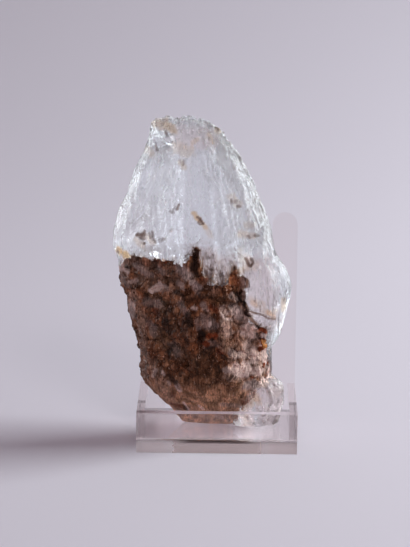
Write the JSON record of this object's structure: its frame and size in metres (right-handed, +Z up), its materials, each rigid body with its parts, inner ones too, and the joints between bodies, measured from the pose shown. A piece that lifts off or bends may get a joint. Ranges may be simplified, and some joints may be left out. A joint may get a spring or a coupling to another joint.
{
  "type": "topaz crystal",
  "caption": "Etched topaz crystal, clear above and iron-stained below, standing in a clear acrylic tray stand with upright back fingers.",
  "frame": {"origin": "centre of the stand's underside", "axes": "+Z up along the crystal, +Y towards the back fingers, +X to the right seen from the front"},
  "size_m": [0.0584, 0.037, 0.1008],
  "materials": {
    "topaz": "etched and frosty pale blue crystal, stained brown by iron over its lower part",
    "acrylic": "clear, polished, with clean square edges"
  },
  "bodies": {
    "root": {"topaz_crystal": "topaz", "stand_bottom_plate": "acrylic", "stand_front_lip": "acrylic", "stand_side_wall_left": "acrylic", "stand_side_wall_right": "acrylic", "stand_back_finger_left": "acrylic", "stand_back_finger_right": "acrylic"}
  },
  "joints": []
}
